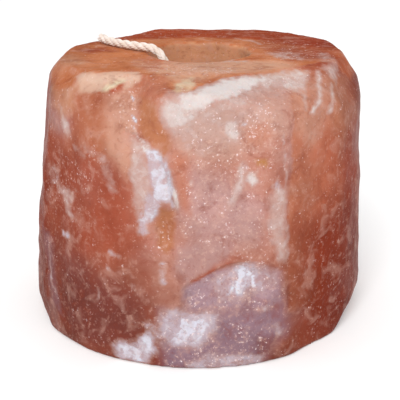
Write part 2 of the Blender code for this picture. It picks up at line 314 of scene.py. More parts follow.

# Where painted glints lie close together: there the salt's colour gets lighter specks, flecks and sparks
PAINTED_GLINTS = {
    "shoulder": patch(1.0, 14.0, (-10, 104), (32, 104), (32, 78), (14, 70), (-6, 76)),
    "heart": patch(0.8, 14.0, (-6, 76), (30, 76), (28, 46), (-6, 44)),
    "ledge": patch(1.0, 8.0, (-6, 34), (6, 40), (22, 44), (34, 36), (30, 22), (-4, 24)),
    "foot": patch(0.8, 10.0, (-16, 24), (10, 24), (30, 14), (22, 0), (-14, 0)),
    "hollow": patch(1.0, 5.0, (-15, 58), (-10, 58), (-10, 47), (-15, 47)),
    "strip by the window": patch(1.0, 4.0, (-31, 106), (-21.5, 106), (-20, 90), (-24, 90), (-29, 95)),
    "top before the well": patch(1.7, 10.0, (-20, -26), (14, -30), (10, -44), (-16, -40), view="top"),
    "top to the right": patch(0.6, 14.0, (28, -20), (52, -14), (46, 24), (28, 20), view="top"),
    # Painted highlight: dense painted glints on the silver under the ledge
    "silver": patch(1.8, 4.0, (10, 30), (10, 38), (16, 43), (26, 43), (26, 37), (17, 28)),
    "left cloud": patch(0.5, 8.0, (-58, 72), (-44, 84), (-36, 82), (-44, 60), (-58, 56)),
    "bevel": patch(0.7, 4.0, (10, 108), (38, 109), (38, 103), (12, 103)),
}

# Washes of colour in the salt, laid over one another from the first to the last
WASHES = {
    "front": ("rose", patch(1.0, 24.0, (-22, 112), (34, 112), (34, 40), (30, 14), (-18, 14), (-24, 60))),
    "left cheek": ("clay", patch(
        0.85, 8.0, (-44, 105), (-33, 104), (-31, 96), (-30, 86), (-36, 78), (-44, 84), (-46, 96),
    )),
    "left shoulder": ("sand", patch(0.8, 5.0, (-57, 102), (-46, 110), (-22, 111), (-23, 107), (-45, 104))),
    "edge under the corner": ("cream", stroke(0.6, 2.0, (-30, 105), (-30.4, 102), (-28, 98), (-25.5, 94.5))),
    "left light": ("sand", patch(0.8, 6.0, (-56, 108), (-45, 108), (-46, 98), (-52, 92), (-56, 96))),
    "pale zone": ("salmon", patch(
        0.9, 6.0, (-34, 103), (-30, 103), (-25, 93), (-22, 84), (-26, 74), (-34, 86),
    )),
    "strip": ("salmon", patch(0.9, 3.0, (-31, 106), (-21.5, 106), (-22, 92), (-24.5, 92), (-30, 99))),
    "left middle": ("brick", patch(
        0.9, 14.0, (-58, 80), (-40, 84), (-28, 74), (-25, 50), (-40, 40), (-58, 40),
    )),
    "below the crust": ("brick", patch(0.5, 8.0, (-34, 62), (-18, 56), (-16, 20), (-34, 24))),
    "shoulder of the heart": ("bloom", patch(
        0.9, 10.0, (-12, 104), (33, 104), (33, 92), (10, 82), (-8, 84),
    )),
    "heart": ("pink", patch(0.9, 12.0, (-8, 82), (12, 76), (26, 66), (24, 50), (-2, 50), (-8, 66))),
    "brown in the heart": ("orange", patch(0.55, 4.0, (17, 96), (25, 97), (28, 92), (23, 87.5), (18, 89))),
    "ochre spot": ("ochre", patch(0.8, 2.0, (21, 82.5), (25, 82.5), (25.5, 80), (22, 80))),
    "band under the heart": ("pink", patch(
        0.8, 5.0, (-8, 50), (14, 52), (12, 43), (2, 38), (-6, 34), (-9, 40),
    )),
    "under the ledge": ("violet", patch(
        0.9, 4.0, (-6, 33), (8, 39.5), (22, 42.5), (32, 38), (33, 24), (-4, 24),
    )),
    "brown on the ledge": ("umber", patch(0.5, 4.0, (18, 34), (22, 33), (21, 22), (17, 22))),
    "front of the foot": ("mauve", patch(0.85, 8.0, (-14, 24), (34, 24), (36, 12), (24, 0), (-14, 0))),
    "brown near the base": ("umber", patch(0.6, 4.0, (22, 11.5), (32, 11), (31, 3), (23, 4))),
    "window": ("amber", patch(
        1.0, 2.4, (-21, 104), (-14, 104), (-13, 98), (-11, 93), (-9, 87), (-12, 85), (-16, 88), (-21, 92),
    )),
    "below the window": ("orange", patch(0.8, 5.0, (-10, 88), (-3, 84), (-3, 62), (-7, 66))),
    "hollow": ("amber", patch(
        1.0, 2.0, (-14, 66), (-9, 65), (-8, 58), (-9, 50), (-12, 47.5), (-15, 50), (-15.5, 58),
    )),
    "left foot": ("umber", patch(1.0, 22.0, (-62, 40), (-30, 38), (-20, 28), (-20, 8), (-34, 0), (-56, 0))),
    # Painted shade: the left rim is darkened where the light falls off towards the edge
    "painted shade on the left rim": ("dark", patch(
        0.85, 4.0, (-80, 112), (-60.5, 98), (-59, 82), (-61, 57), (-62.5, 12), (-60, 0), (-80, 0),
    )),
    "violet strip": ("mauve", patch(0.45, 3.0, (-64, 44), (-59.5, 42), (-58, 20), (-56, 10), (-61, 12))),
    "right face": ("orange", patch(
        0.95, 1.2, (35, 106), (52, 106), (58, 84), (58, 20), (36, 20), (34.3, 60), (34.8, 92),
    )),
    "foot of the right face": ("dark", patch(0.95, 26.0, (36, 54), (64, 58), (64, 0), (40, 0))),
    "light on the right corner": ("sand", patch(
        0.75, 8.0, (46, 108), (60, 106), (66, 90), (56, 84), (48, 94),
    )),
    "right side": ("umber", patch(0.5, 18.0, (58, 106), (80, 106), (80, 0), (58, 0), (57, 50))),
    # Partly a crack, partly painted shadow under the ledge's overhang
    "crack and painted shadow over the ledge": ("flame", stroke(0.9, 1.6, (-3, 35.2), (3, 38), (8.5, 41.4), (13, 42.7))),
    "glow over the crack": ("flame", patch(0.5, 3.0, (5, 41), (8, 44), (14, 46), (17, 45), (13, 43))),
    "top": ("tan", patch(
        1.0, 2.0, (-80, 80), (80, 80), (80, -10), (48, -21), (31, -35), (20, -42), (9, -45), (2, -52),
        (-4.5, -57), (-10, -54.5), (-21, -41.4), (-48, -38), (-80, -20), view="top",
    )),
    "sand before the well": ("apricot", patch(
        0.9, 8.0, (-26, -20), (36, -18), (38, -32), (6, -44), (-4, -54), (-18, -40), view="top",
    )),
    "over the window": ("orange", patch(0.8, 3.0, (-26, 111), (-11, 111), (-12, 103), (-24, 104))),
    "broken corner": ("shell", patch(
        0.85, 1.2, (-47, 107), (-43.5, 109), (-22.5, 109.3), (-21, 108.6), (-25.5, 107.4), (-29.5, 107.8),
        (-38, 106.8),
    )),
    "broken corner from above": ("shell", patch(
        0.75, 1.4, (-46, -36.6), (-36.5, -38.5), (-30, -37.6), (-22.5, -38.1), (-21, -42.5), (-25.5, -45),
        (-44, -43), view="top",
    )),
    "red pocket": ("flame", stroke(1.0, 1.7, (-31.4, 104.6), (-28.2, 105.9))),
    # Painted highlights: the light caught along the crack under the corner and on the tongue's edge
    "painted highlight along the crack": ("painted highlight colour", stroke(0.9, 1.6, (-34.5, 105), (-32.5, 106), (-30.5, 106.6), (-28, 107.5))),
    "painted highlight on the tongue's edge": ("painted highlight colour", stroke(0.7, 1.2, (-8, 107.5), (-4.5, 108), (-1.5, 108.5))),
    "back of the top": ("ember", patch(
        1.0, 9.0, (-60, 10), (-46, 18), (-24, 29), (0, 33), (24, 28), (44, 12), (80, 2), (80, 80),
        (-80, 80), (-80, 10), view="top",
    )),
    "rim over the bevel": ("cream", patch(
        0.6, 3.0, (20, -42), (31, -35.5), (42, -31), (43, -33), (32, -38), (20, -44), view="top",
    )),
    "top at the left": ("sand", patch(0.7, 8.0, (-60, -6), (-50, -8), (-42, -26), (-54, -28), view="top")),
    "dark at the left": ("dark", patch(0.85, 7.0, (-52, 6), (-40, 10), (-34, 2), (-46, -4), view="top")),
    "corner in the light": ("salmon", patch(0.8, 5.0, (34, 108), (50, 108), (52, 96), (44, 84), (36, 92))),
    "red at the right": ("brick", patch(0.8, 10.0, (28, 8), (54, 4), (58, -14), (36, -18), view="top")),
    "red behind it": ("dark", patch(0.6, 10.0, (23, 26), (60, 24), (62, 2), (30, 6), view="top")),
}

COLOURS = {
    "base": (0.72, 0.40, 0.30),
    "rose": (0.76, 0.52, 0.45),
    "salmon": (0.83, 0.62, 0.53),
    "sand": (0.83, 0.61, 0.49),
    "clay": (0.73, 0.46, 0.35),
    "brick": (0.645, 0.325, 0.24),
    "bloom": (0.805, 0.635, 0.575),
    "pink": (0.765, 0.60, 0.58),
    "orange": (0.77, 0.48, 0.37),
    "violet": (0.745, 0.62, 0.66),
    # A deep red of the salt, also used as painted shade on the left rim
    "mauve": (0.655, 0.54, 0.60),
    "umber": (0.535, 0.28, 0.24),
    "dark": (0.60, 0.25, 0.15),
    "amber": (0.745, 0.485, 0.355),
    "flame": (0.72, 0.37, 0.27),
    "ochre": (0.72, 0.50, 0.27),
    "tan": (0.79, 0.475, 0.31),
    "apricot": (0.86, 0.645, 0.53),
    "cream": (0.875, 0.70, 0.585),
    "shell": (0.875, 0.735, 0.65),
    # A pale yellow for painted highlights
    "painted highlight colour": (0.91, 0.855, 0.73),
    "ember": (0.64, 0.26, 0.13),
    # A lighter wall colour, painted light inside the well
    "well": (0.87, 0.63, 0.48),
}

# Broken edges: how far in mm the side at the left of each line stands out, how far that reaches, and the line
LIPS = {
    "flake": (
        0.8, 12.0, (-7, 62), (-8.8, 67), (-9.8, 70), (-10.5, 74.5), (-11.5, 79.5), (-13.5, 83.5),
        (-15.5, 86), (-18.5, 88), (-20, 90.5), (-23, 91.5),
    ),
    "strip": (0.25, 6.0, (-23, 91.5), (-25.5, 93), (-28, 96.5), (-29.5, 102), (-31, 105)),
    "facet": (0.3, 7.0, (36, 14), (34.4, 25.5), (34, 43), (33.8, 66), (33.6, 89), (34.4, 100), (35, 105)),
    "chip under the corner": (1.1, 5.0, (-26, 108), (-28.5, 107.2), (-31.5, 106), (-35.5, 104.4)),
    "ledge": (0.8, 8.0, (-6, 33.5), (-3, 35.5), (3, 38), (8.5, 41.5), (15, 43), (20.5, 43), (27.5, 41)),
}

# Says in which way the outlines of the marks are broken, the same each time
OUTLINE_SEED = 4

# The step beside the tongue, whose edges are worn away
WORN_STEP = patch(1.0, 5.0, (-33, 108), (-18, 108), (-12, 104), (-11, 88), (-31, 88))


def linear(colour):
    """A display colour as light, with full opacity."""
    return (*Color(colour).from_srgb_to_scene_linear(), 1.0)


# Shared modelling


def placed(name, data):
    thing = bpy.data.objects.new(name, data)
    bpy.context.scene.collection.objects.link(thing)
    return thing


def settle(thing):
    """Turns the object's modifiers, or its curves, into a mesh of the same name."""
    graph = bpy.context.evaluated_depsgraph_get()
    mesh = bpy.data.meshes.new_from_object(thing.evaluated_get(graph))
    name = thing.name
    bpy.data.objects.remove(thing, do_unlink=True)
    mesh.name = name
    return placed(name, mesh)


def finished(thing, material):
    """Gives a piece its material, and fixes it to the block's body."""
    thing.data.materials.clear()
    thing.data.materials.append(material)
    thing.data.shade_smooth()
    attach(thing, "root")
    return thing


def store(mesh, name, values):
    """Keeps one number for each point of a mesh, for its material."""
    kept = mesh.attributes.new(name, "FLOAT", "POINT")
    kept.data.foreach_set("value", np.asarray(values, dtype=np.float32))


def store_colour(mesh, name, values):
    """Keeps one colour for each point of a mesh."""
    kept = mesh.attributes.new(name, "FLOAT_COLOR", "POINT")
    full = np.ones((len(values), 4), dtype=np.float32)
    full[:, :3] = values
    kept.data.foreach_set("color", full.ravel())


# Shared material nodes


def new_material(name):
    made = bpy.data.materials.new(name)
    made.use_nodes = True
    return made, made.node_tree, made.node_tree.nodes["Principled BSDF"]


def node(tree, kind, inputs=None, **settings):
    made = tree.nodes.new(kind)
    for name, value in settings.items():
        setattr(made, name, value)
    for key, value in (inputs or {}).items():
        if isinstance(value, bpy.types.NodeSocket):
            tree.links.new(value, made.inputs[key])
        else:
            made.inputs[key].default_value = value
    return made


def place_on_piece(tree, stretch=(1.0, 1.0, 1.0), turn=(0.0, 0.0, 0.0)):
    """The point of the piece that is shaded, stretched and turned for a pattern with a grain."""
    here = node(tree, "ShaderNodeTexCoord").outputs["Object"]
    if stretch == (1.0, 1.0, 1.0) and turn == (0.0, 0.0, 0.0):
        return here
    moved = node(tree, "ShaderNodeMapping", {"Vector": here, "Scale": stretch, "Rotation": turn})
    return moved.outputs["Vector"]


def clouds(tree, place, size, detail=3.0, roughness=0.55, distortion=0.0):
    """Soft noise from 0 to 1 with blobs of the given size."""
    values = {"Vector": place, "Scale": 1 / size, "Detail": detail, "Roughness": roughness}
    return node(tree, "ShaderNodeTexNoise", {**values, "Distortion": distortion}).outputs["Fac"]


def bent(tree, place, size, reach):
    """The place moved by soft noise, so that a pattern on it has broken outlines."""
    wave = node(tree, "ShaderNodeTexNoise", {"Vector": place, "Scale": 1 / size}).outputs["Color"]
    values = {0: wave, 1: (reach, reach, reach), 2: place}
    return node(tree, "ShaderNodeVectorMath", values, operation="MULTIPLY_ADD").outputs[0]


def crystals(tree, place, size):
    """Crystals of the given size: how far the place is from one's middle, and that one's chance number."""
    made = node(tree, "ShaderNodeTexVoronoi", {"Vector": place, "Scale": 1 / size})
    chance = node(tree, "ShaderNodeSeparateColor", {"Color": made.outputs["Color"]}).outputs["Red"]
    return made.outputs["Distance"], chance


def spread(tree, value, low, high, to_low=0.0, to_high=1.0, kind="SMOOTHSTEP"):
    """Turns the values between low and high into those between to_low and to_high."""
    values = {"Value": value, "From Min": low, "From Max": high, "To Min": to_low, "To Max": to_high}
    return node(tree, "ShaderNodeMapRange", values, interpolation_type=kind).outputs["Result"]


def sum_of(tree, one, other):
    return node(tree, "ShaderNodeMath", {0: one, 1: other}, operation="ADD").outputs[0]


def product(tree, one, other):
    return node(tree, "ShaderNodeMath", {0: one, 1: other}, operation="MULTIPLY").outputs[0]


def blended(tree, factor, one, other, way="MIX"):
    """Two colours mixed by a factor."""
    values = {0: factor, 6: one, 7: other}
    return node(tree, "ShaderNodeMix", values, data_type="RGBA", blend_type=way).outputs[2]


def raised(tree, height, depth, strength, below=None):
    """A bump of a real depth, laid over the one below it."""
    values = {"Height": height, "Distance": depth, "Strength": strength}
    if below is not None:
        values["Normal"] = below
    return node(tree, "ShaderNodeBump", values).outputs["Normal"]


def kept_value(tree, name):
    return node(tree, "ShaderNodeAttribute", attribute_name=name).outputs["Fac"]


# Camera


class RockSaltView(bpy.types.PropertyGroup):
    place: bpy.props.FloatVectorProperty(
        name="Place",
        description="Where the camera stands, in front of the block and above it",
        default=(0.00089, -0.36074, 0.1815),
        subtype="TRANSLATION",
        unit="LENGTH",
        precision=4,
    )
    tilt: bpy.props.FloatProperty(
        name="Tilt",
        description="Angle between the camera's view and straight down",
        default=math.radians(69.2),
        subtype="ANGLE",
    )
    lens: bpy.props.FloatProperty(
        name="Lens", description="Focal length for a 36 mm sensor", default=78.3, min=10, unit="CAMERA"
    )


class MakeView(bpy.types.Operator):
    """Places the camera in front of the block, looking down on its top"""

    bl_idname = "rock_salt.make_view"
    bl_label = "Camera"

    def execute(self, context):
        sizes = context.scene.rock_salt_view
        data = bpy.data.cameras.new("camera")
        data.lens = sizes.lens
        data.sensor_width = 36.0
        data.clip_start = 0.01
        camera = placed("camera", data)
        camera.location = sizes.place
        camera.rotation_euler = (sizes.tilt, 0.0, 0.0)
        context.scene.camera = camera
        return {"FINISHED"}


# Wick


class RockSaltWick(bpy.types.PropertyGroup):
    thickness: bpy.props.FloatProperty(
        name="Thickness", description="Across the whole cord", default=3.4 * MM, min=0.001, subtype="DISTANCE"
    )
    strands: bpy.props.IntProperty(
        name="Strands", description="Strands twisted into the cord", default=3, min=2
    )
    yarns: bpy.props.IntProperty(name="Yarns", description="Yarns twisted into each strand", default=5, min=1)
    lay: bpy.props.FloatProperty(
        name="Lay", description="Length of one turn of a strand", default=14.0 * MM, subtype="DISTANCE"
    )
    yarn_lay: bpy.props.FloatProperty(
        name="Yarn lay", description="Length of one turn of a yarn in its strand",
        default=7.0 * MM, subtype="DISTANCE",
    )
    fibres: bpy.props.IntProperty(name="Fibres", description="Loose fibres on the cord", default=260, min=0)
    light: bpy.props.FloatVectorProperty(
        name="Cotton", description="Colour of the cotton", default=(0.92, 0.875, 0.845), subtype="COLOR_GAMMA"
    )
    shade: bpy.props.FloatVectorProperty(
        name="Cotton in shade", description="Colour between the strands",
        default=(0.74, 0.64, 0.60), subtype="COLOR_GAMMA",
    )


def smooth_route(points, count):
    """Points at even steps along a smooth curve through the given ones."""
    ends = [points[0] * 2 - points[1]] + points + [points[-1] * 2 - points[-2]]
    fine = []
    for before, start, end, after in zip(ends, ends[1:], ends[2:], ends[3:]):
        fine += interpolate_bezier(start, start + (end - before) / 6, end - (after - start) / 6, end, 20)[:-1]
    fine.append(points[-1])
    travelled = [0.0]
    for one, other in zip(fine, fine[1:]):
        travelled.append(travelled[-1] + (other - one).length)
    even = []
    index = 0
    for step in range(count):
        wanted = travelled[-1] * step / (count - 1)
        while index < len(fine) - 2 and travelled[index + 1] <= wanted:
            index += 1
        share = (wanted - travelled[index]) / (travelled[index + 1] - travelled[index])
        even.append(fine[index].lerp(fine[index + 1], share))
    return even


def wick_line(count):
    return smooth_route([Vector(point) * MM + DRAWING_SHIFT for point in WICK_ROUTE], count)


def length_of(line):
    return sum((other - one).length for one, other in zip(line, line[1:]))


def sideways(line):
    """Two directions across the line at each of its points, which don't twist along it."""
    side = (line[1] - line[0]).orthogonal().normalized()
    pairs = []
    for index in range(len(line)):
        along = (line[min(index + 1, len(line) - 1)] - line[max(index - 1, 0)]).normalized()
        side = (side - along * side.dot(along)).normalized()
        pairs.append((side.copy(), along.cross(side)))
    return pairs


def wound(line, away, turns, start):
    """A line wound around another one, at a distance that may change along it."""
    pairs = sideways(line)
    last = len(line) - 1
    made = []
    for index, (point, (side, up)) in enumerate(zip(line, pairs)):
        angle = start + 2 * math.pi * turns * index / last
        reach = away(index / last)
        made.append(point + (side * math.cos(angle) + up * math.sin(angle)) * reach)
    return made


def add_line(curve, points, radii):
    line = curve.splines.new("POLY")
    line.points.add(len(points) - 1)
    for point, place, radius in zip(line.points, points, radii):
        point.co = (*place, 1.0)
        point.radius = radius


def tube_curve(name, radius, resolution):
    curve = bpy.data.curves.new(name, "CURVE")
    curve.dimensions = "3D"
    curve.bevel_depth = radius
    curve.bevel_resolution = resolution
    curve.use_fill_caps = True
    return curve


def yarn_radii(count, seed):
    """A yarn's thickness along it: slubs, and worn-down ends."""
    made = []
    for index in range(count):
        slub = 1 + 0.10 * noise.noise(Vector((index * 0.11, seed, 0.0)))
        to_end = min(index, count - 1 - index) / 3
        made.append(slub * min(1.0, 0.55 + 0.45 * to_end))
    return made


def strand_reach(sizes, share):
    """How far a strand's middle is from the cord's: the strands part a little at the cut ends."""
    frayed = max(0.0, abs(2 * share - 1) - (1 - FRAYED_PART)) / FRAYED_PART
    return sizes.thickness * (STRAND_AWAY + FRAYED_AWAY * frayed)


def build_wick(sizes):
    """The twisted cord along its route, and the line through its middle."""
    line = wick_line(WICK_STEPS)
    length = length_of(line)
    curve = tube_curve("cotton_wick", sizes.thickness * YARN_RADIUS, 2)
    for strand in range(sizes.strands):
        around = 2 * math.pi * strand / sizes.strands
        middle = wound(line, lambda share: strand_reach(sizes, share), length / sizes.lay, around)
        for yarn in range(sizes.yarns):
            start = 2 * math.pi * yarn / sizes.yarns + strand
            path = wound(middle, lambda share: sizes.thickness * YARN_AWAY, -length / sizes.yarn_lay, start)
            add_line(curve, path, yarn_radii(WICK_STEPS, strand * 7.3 + yarn * 2.1))
    wick = settle(placed("cotton_wick", curve))
    store(wick.data, "outwards", away_from_line(wick.data, line, sizes.thickness / 2))
    return wick, line


def points_of(mesh):
    flat = np.empty(len(mesh.vertices) * 3, dtype=np.float32)
    mesh.vertices.foreach_get("co", flat)
    return flat.reshape(-1, 3)


def normals_of(mesh):
    flat = np.empty(len(mesh.vertices) * 3, dtype=np.float32)
    mesh.vertex_normals.foreach_get("vector", flat)
    return flat.reshape(-1, 3)


def distance_to_line(points, line):
    """How far each of many points is from a line of straight steps, in space or in a plane."""
    nearest = np.full(len(points), np.inf)
    for one, other in zip(line, line[1:]):
        start = np.array(one)
        step = np.array(other) - start
        share = np.clip((points - start) @ step / max(step @ step, 1e-12), 0, 1)
        gap = np.linalg.norm(points - start - share[:, None] * step, axis=1)
        nearest = np.minimum(nearest, gap)
    return nearest


def away_from_line(mesh, line, radius):
    return distance_to_line(points_of(mesh), line[::3] + [line[-1]]) / radius


def build_fibres(sizes, line):
    """Loose fibres that stand off the cord, more of them at its cut end."""
    chance = random.Random(FIBRE_SEED)
    pairs = sideways(line)
    curve = tube_curve("wick_fibres", FIBRE_RADIUS, 0)
    for fibre in range(sizes.fibres):
        at_end = fibre % 5 == 0
        low = len(line) - 6 if at_end else 4
        index = chance.randrange(low, len(line) - 1)
        side, up = pairs[index]
        along = up.cross(side) * chance.choice((-1, 1))
        angle = chance.uniform(0, 2 * math.pi)
        out = side * math.cos(angle) + up * math.sin(angle)
        start = line[index] + out * sizes.thickness * 0.40
        reach = chance.uniform(0.5, 1.5) * MM
        lean = chance.uniform(0.4, 1.2)
        curl = out.cross(along) * chance.uniform(-0.6, 0.6)
        path = []
        for step in range(5):
            share = step / 4
            path.append(start + (out * share * 0.55 + along * lean * share + curl * share * share) * reach)
        add_line(curve, path, (1.2, 1.1, 1.0, 0.8, 0.4))
    return settle(placed("wick_fibres", curve))


def cotton_material(sizes, name, in_cord):
    """Off-white cotton, with painted shade darker and warmer between the strands, and a fine nap."""
    made, tree, shader = new_material(name)
    here = place_on_piece(tree)
    mottle = clouds(tree, here, 2.6 * MM, 3.0)
    nap = clouds(tree, here, 0.22 * MM, 2.0)
    cotton = blended(tree, spread(tree, mottle, 0.35, 0.7), linear(sizes.light), linear((0.86, 0.79, 0.73)))
    if in_cord:
        groove = spread(tree, kept_value(tree, "outwards"), 0.56, 0.82, 0.9, 0.0)
        cotton = blended(tree, groove, cotton, linear(sizes.shade))
    cotton = blended(tree, spread(tree, nap, 0.3, 0.8, 0.0, 0.22), cotton, linear((0.74, 0.66, 0.60)))
    tree.links.new(cotton, shader.inputs["Base Color"])
    shader.inputs["Roughness"].default_value = 0.92
    shader.inputs["Specular IOR Level"].default_value = 0.2
    shader.inputs["Sheen Weight"].default_value = 0.25
    tree.links.new(raised(tree, nap, 0.12 * MM, 0.6), shader.inputs["Normal"])
    return made


class MakeWick(bpy.types.Operator):
    """Twists the cotton wick along its route, and adds its loose fibres"""

    bl_idname = "rock_salt.make_wick"
    bl_label = "Wick"

    def execute(self, context):
        sizes = context.scene.rock_salt_wick
        wick, line = build_wick(sizes)
        finished(wick, cotton_material(sizes, "cotton cord", True))
        fibres = finished(build_fibres(sizes, line), cotton_material(sizes, "cotton fibres", False))
        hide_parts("wick")
        return {"FINISHED"}


# Block of salt


class RockSaltBlock(bpy.types.PropertyGroup):
    net: bpy.props.FloatProperty(
        name="Net", description="Spacing of the surface's points",
        default=0.98 * MM, min=0.0004, subtype="DISTANCE",
    )
    wear: bpy.props.IntProperty(name="Wear", description="Rounds of smoothing that wear its edges", default=2)
    lumps: bpy.props.FloatProperty(
        name="Lumps", description="Height of its soft lumps", default=0.35 * MM, subtype="DISTANCE"
    )
    grain: bpy.props.FloatProperty(
        name="Grain", description="Height of the broken grain in bruised places",
        default=0.22 * MM, subtype="DISTANCE",
    )
    frost: bpy.props.FloatVectorProperty(
        name="Bloom", description="Colour of the bloom where it is thick",
        default=(0.89, 0.89, 0.935), subtype="COLOR_GAMMA",
    )
    veil: bpy.props.FloatVectorProperty(
        name="Thin bloom", description="Colour of the bloom where it is thin",
        default=(0.80, 0.745, 0.775), subtype="COLOR_GAMMA",
    )
    depth: bpy.props.FloatProperty(
        name="Depth of colour", description="Share of the light that the salt gives back",
        default=0.74, min=0, max=1,
    )
    # Colour of the painted glints, the brightest of the smallest crystals
    glint: bpy.props.FloatVectorProperty(
        name="Glint", description="Colour of the smallest crystals",
        default=(1.0, 0.94, 0.95), subtype="COLOR_GAMMA",
    )


def net_over_block(sizes):
    """An even net over the block's solid, with worn edges."""
    solid = bmesh.new()
    solid.from_mesh(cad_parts["salt_block"].data)
    bmesh.ops.remove_doubles(solid, verts=solid.verts, dist=0.001 * MM)
    mesh = bpy.data.meshes.new("salt_lump")
    solid.to_mesh(mesh)
    solid.free()
    block = placed("salt_lump", mesh)
    net = block.modifiers.new("even net", "REMESH")
    net.mode = "VOXEL"
    net.voxel_size = sizes.net
    worn = block.modifiers.new("worn edges", "SMOOTH")
    worn.factor = 0.5
    worn.iterations = sizes.wear
    block = settle(block)
    wear_step(block.data)
    return block


def wear_step(mesh):
    """Wears the step beside the tongue of the top down to a slope."""
    share = amount(points_of(mesh), WORN_STEP)
    net = bmesh.new()
    net.from_mesh(mesh)
    net.verts.ensure_lookup_table()
    for least in (0.1, 0.5, 0.9):
        chosen = [net.verts[index] for index in np.flatnonzero(share > least)]
        for _ in range(STEP_ROUNDS):
            bmesh.ops.smooth_vert(
                net, verts=chosen, factor=0.5, use_axis_x=True, use_axis_y=True, use_axis_z=True
            )
    net.to_mesh(mesh)
    net.free()


def noise_over(points, size, seed=0.0):
    """Soft noise around 0 at each point, with blobs of the given size."""
    offset = Vector((seed, seed * 1.7, -seed))
    return np.array([noise.noise(point / size + offset) for point in points], dtype=np.float32)


def ragged(points, sizes_and_reach):
    """The points moved by noise, so that what is drawn on them has broken outlines."""
    noise.seed_set(OUTLINE_SEED)
    moved = np.array(points, dtype=np.float32)
    for size, reach in sizes_and_reach:
        moved += reach * np.array([noise.noise_vector(point / size) for point in points], dtype=np.float32)
    return moved


def inside(places, outline):
    """Which places of a plane a closed outline holds."""
    held = np.zeros(len(places), dtype=bool)
    across, up = places[:, 0], places[:, 1]
    for (x0, y0), (x1, y1) in zip(outline, outline[1:]):
        if y0 != y1:
            beside = across < x0 + (up - y0) / (y1 - y0) * (x1 - x0)
            held ^= ((up < y0) != (up < y1)) & beside
    return held


def smooth(share):
    share = np.clip(share, 0, 1)
    return share * share * (3 - 2 * share)


def beside_line(places, line):
    """How far each place of a plane is from a line, below zero on the line's right."""
    nearest = np.full(len(places), np.inf)
    side = np.ones(len(places))
    for one, other in zip(line, line[1:]):
        start = np.array(one)
        step = np.array(other) - start
        share = np.clip((places - start) @ step / (step @ step), 0, 1)
        off = places - start - share[:, None] * step
        gap = np.linalg.norm(off, axis=1)
        closer = gap < nearest
        nearest[closer] = gap[closer]
        side[closer] = np.sign(step[0] * off[closer, 1] - step[1] * off[closer, 0])
    return nearest * side


def lip_height(points, lips):
    """How far in metres the broken edges stand out at each point."""
    places = points[:, (0, 2)] / MM
    faces_it = smooth(-points[:, 1] / LIP_DEPTH - 1)
    height = np.zeros(len(points))
    for tall, reach, *line in lips.values():
        away = beside_line(places, line)
        height += tall * smooth(0.5 + away / LIP_STEP) * smooth(1 - np.abs(away) / reach)
    return height * MM * faces_it


def amount(points, mark):
    """How much of a mark each point has, from 0 to its strength."""
    if mark["view"] == "front":
        places = points[:, (0, 2)] / MM
        faces_it = smooth(0.5 - (points[:, 1] / MM - FRONT_END) / max(FRONT_FADE, mark["fade"]))
        faces_it *= smooth((BLOCK_HEIGHT - points[:, 2]) / (0.5 * MM) + 0.5)
    else:
        places = points[:, (0, 1)] / MM
        faces_it = smooth((points[:, 2] - BLOCK_HEIGHT + TOP_REACH) / TOP_FADE)
    away = distance_to_line(places, mark["line"]) - mark["width"]
    if mark["width"] == 0:
        away = np.where(inside(places, mark["line"]), -away, away)
    return mark["strength"] * smooth(0.5 - away / mark["fade"]) * faces_it


def strongest(points, marks):
    """At each point, the amount of the mark that is strongest there."""
    made = np.zeros(len(points), dtype=np.float32)
    for mark in marks.values():
        made = np.maximum(made, amount(points, mark))
    return made


def washed(points, seed_points):
    """The salt's colour at each point: washes laid over one another, clouds, painted light on the well's
    wall, and painted shade towards the foot and on the flanks.
    """
    colour = np.tile(np.array(linear(COLOURS["base"])[:3]), (len(points), 1))
    for index, name in enumerate(("umber", "pink", "orange", "dark")):
        wash = np.array(linear(COLOURS[name])[:3])
        blobs = noise_over(seed_points, CLOUD_SIZE, 13.0 + 7 * index)
        share = CLOUD_SHARE * smooth(blobs * 2.4 - 0.1)[:, None]
        colour = colour * (1 - share) + wash * share
    for name, mark in WASHES.values():
        wash = np.array(linear(COLOURS[name])[:3])
        share = amount(points, mark)[:, None]
        colour = colour * (1 - share) + wash * share
    # Painted light: the well's wall is lightened to make up for the shade inside the well
    painted_light_in_well = np.array(linear(COLOURS["well"])[:3])
    share = (1 - outside_well(points)[:, None]) * smooth((BLOCK_HEIGHT - points[:, 2]) / (1.0 * MM))[:, None]
    colour = colour * (1 - share) + painted_light_in_well * share
    cloud = noise_over(seed_points, 15 * MM, 3.0) + 0.6 * noise_over(seed_points, 6 * MM, 9.0)
    # Painted shade: the colour darkens towards the foot of the block
    foot = 1 - PAINTED_FOOT_SHADE * smooth(1 - points[:, 2] / FOOT_HEIGHT)
    # Painted shade: the colour darkens towards the left and right flanks
    flank_shade = 0
    for start, width, taken in PAINTED_SHADE_ON_FLANKS.values():
        flank_shade = flank_shade + smooth((points[:, 0] - start) / width)[:, None] * np.array(taken)
    return np.clip(colour * ((1 + CLOUD_DEPTH * cloud) * foot)[:, None] * (1 - flank_shade), 0, 1)


def wild_frost(points, seed_points):
    """Bloom on the sides that the front's marks don't reach."""
    patches = noise_over(seed_points, WILD_SIZE, 5.0) + 0.5 * noise_over(seed_points, 6 * MM, 2.0)
    behind = smooth((points[:, 1] - WILD_START) / WILD_FADE)
    below_top = smooth((BLOCK_HEIGHT - 4 * MM - points[:, 2]) / (6 * MM))
    return np.clip((patches - 0.16) * 2.4, 0, 0.9) * behind * below_top * outside_well(points)


def outside_well(points):
    """1 on the outside of the block, and 0 in its well."""
    across = np.hypot(points[:, 0] - DRAWING_SHIFT.x, points[:, 1] - DRAWING_SHIFT.y)
    return smooth((across - WELL_REACH) / RIM_FADE)


